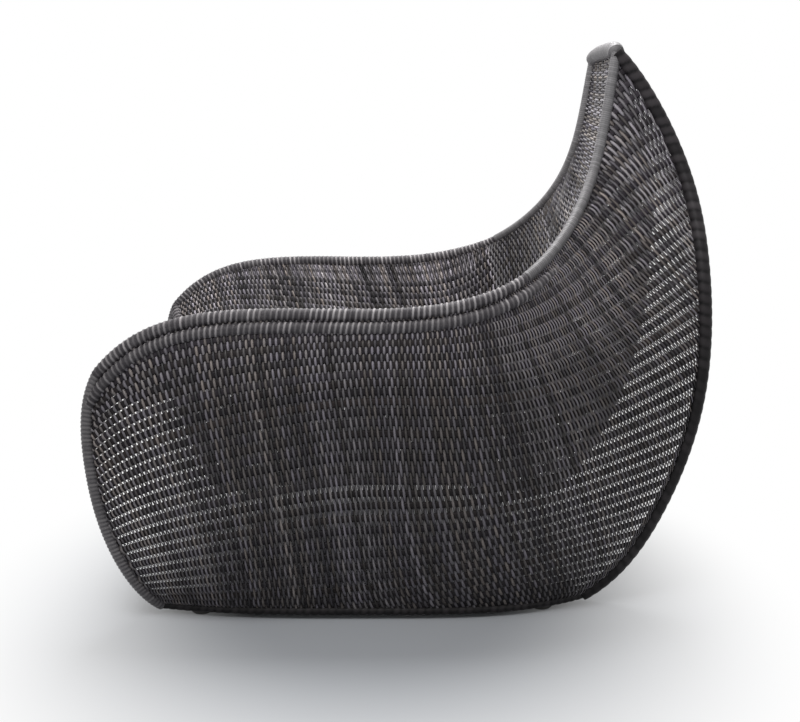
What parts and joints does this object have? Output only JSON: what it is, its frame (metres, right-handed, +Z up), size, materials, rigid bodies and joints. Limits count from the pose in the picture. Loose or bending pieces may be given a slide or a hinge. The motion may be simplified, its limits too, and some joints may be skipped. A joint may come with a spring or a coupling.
{
  "type": "woven lounge armchair",
  "caption": "Free-standing rattan garden armchair: a dark woven shell over bent poles, draped from tall narrow back over the arms down to the floor.",
  "frame": {"origin": "on the floor, under the middle of the chair's box", "axes": "+Z up; the sitter faces -X, so the back is towards +X and the sitter's left is towards -Y"},
  "size_m": [1.0995, 0.879, 1.0034],
  "materials": {
    "woven_cane": "dark stained woven cane, satin",
    "wrapped_pole": "dark stained cane wrapped round a pole, satin",
    "bare_pole": "dark stained rattan pole, satin",
    "glide": "moulded, matte"
  },
  "bodies": {
    "root": {"seat_panel": "woven_cane", "backrest_panel": "woven_cane", "seat_front_rail": "wrapped_pole", "seat_rear_hoop": "bare_pole", "crest_rail": "wrapped_pole", "foot_glides": "glide", "left_side_panel": "woven_cane", "left_arm_lining": "woven_cane", "left_front_pole": "wrapped_pole", "left_rear_pole": "wrapped_pole", "left_arm_rail": "wrapped_pole", "left_arm_border": "wrapped_pole", "left_base_rail": "bare_pole", "left_front_side_rib": "bare_pole", "left_rear_side_rib": "bare_pole", "left_seat_side_rail": "bare_pole", "left_back_rib": "bare_pole", "right_side_panel": "woven_cane", "right_arm_lining": "woven_cane", "right_front_pole": "wrapped_pole", "right_rear_pole": "wrapped_pole", "right_arm_rail": "wrapped_pole", "right_arm_border": "wrapped_pole", "right_base_rail": "bare_pole", "right_front_side_rib": "bare_pole", "right_rear_side_rib": "bare_pole", "right_seat_side_rail": "bare_pole", "right_back_rib": "bare_pole", "front_seat_bearer": "bare_pole", "front_base_stretcher": "bare_pole", "rear_seat_bearer": "bare_pole", "rear_base_stretcher": "bare_pole"}
  },
  "joints": []
}
